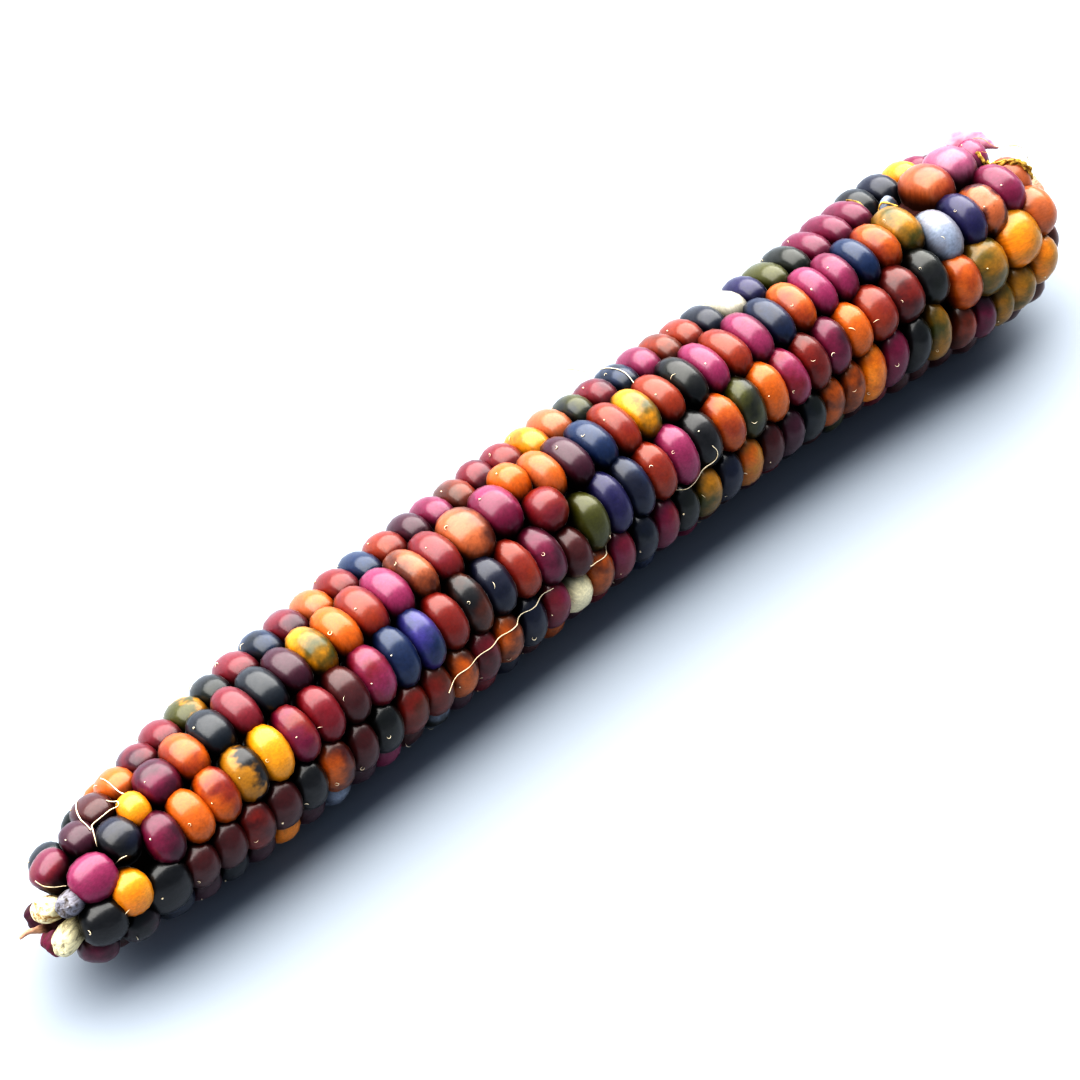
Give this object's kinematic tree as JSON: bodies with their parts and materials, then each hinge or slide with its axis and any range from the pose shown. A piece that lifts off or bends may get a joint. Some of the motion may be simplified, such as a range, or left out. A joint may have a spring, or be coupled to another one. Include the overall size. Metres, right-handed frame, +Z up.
{
  "type": "corn cob",
  "caption": "Dried ear of multicoloured flint corn lying on its side, with glossy bead-like kernels in long rows, a withered tip and a rounded butt",
  "frame": {"origin": "Centre of the underside of the bounding box: the surface the ear lies on is Z = 0.", "axes": "+X runs along the ear from its tip to its butt, +Z is up, and +Y is the side away from the viewer, towards which the middle of the ear bows. Metres, right-handed."},
  "size_m": [0.1892, 0.031, 0.03],
  "materials": {
    "cob": "matte, chaffy",
    "kernels": "waxy gloss",
    "withered_kernels": "wrinkled, dull",
    "silk": "dry fibre",
    "husk": "dry fibre",
    "torn_skin": "papery"
  },
  "bodies": {
    "root": {"cob": "cob", "kernel_row_1": "kernels", "kernel_row_2": "kernels", "kernel_row_3": "kernels", "kernel_row_4": "kernels", "kernel_row_5": "kernels", "kernel_row_6": "kernels", "kernel_row_7": "kernels", "kernel_row_8": "kernels", "butt_row_1": "kernels", "butt_row_2": "kernels", "butt_row_3": "kernels", "butt_row_4": "kernels", "butt_row_5": "kernels", "butt_row_6": "kernels", "butt_row_7": "kernels", "butt_row_8": "kernels", "butt_row_9": "kernels", "tip_kernel_1": "kernels", "tip_kernel_2": "kernels", "tip_kernel_3": "kernels", "tip_kernel_4": "kernels", "tip_kernel_5": "kernels", "tip_kernel_6": "kernels", "tip_kernel_7": "kernels", "tip_kernel_8": "kernels", "tip_kernel_9": "kernels", "tip_kernel_10": "kernels", "tip_kernel_11": "kernels", "tip_kernel_12": "kernels", "tip_kernel_13": "kernels", "withered_kernel_1": "withered_kernels", "withered_kernel_2": "withered_kernels", "withered_kernel_3": "withered_kernels", "withered_kernel_4": "withered_kernels", "withered_kernel_5": "withered_kernels", "wedged_kernel": "kernels", "stray_kernel": "kernels", "silk_thread_1": "silk", "silk_thread_2": "silk", "silk_thread_3": "silk", "silk_thread_4": "silk", "silk_thread_5": "silk", "silk_thread_6": "silk", "silk_thread_7": "silk", "silk_thread_8": "silk", "silk_thread_9": "silk", "husk_scrap": "husk", "torn_skin": "torn_skin"}
  },
  "joints": []
}
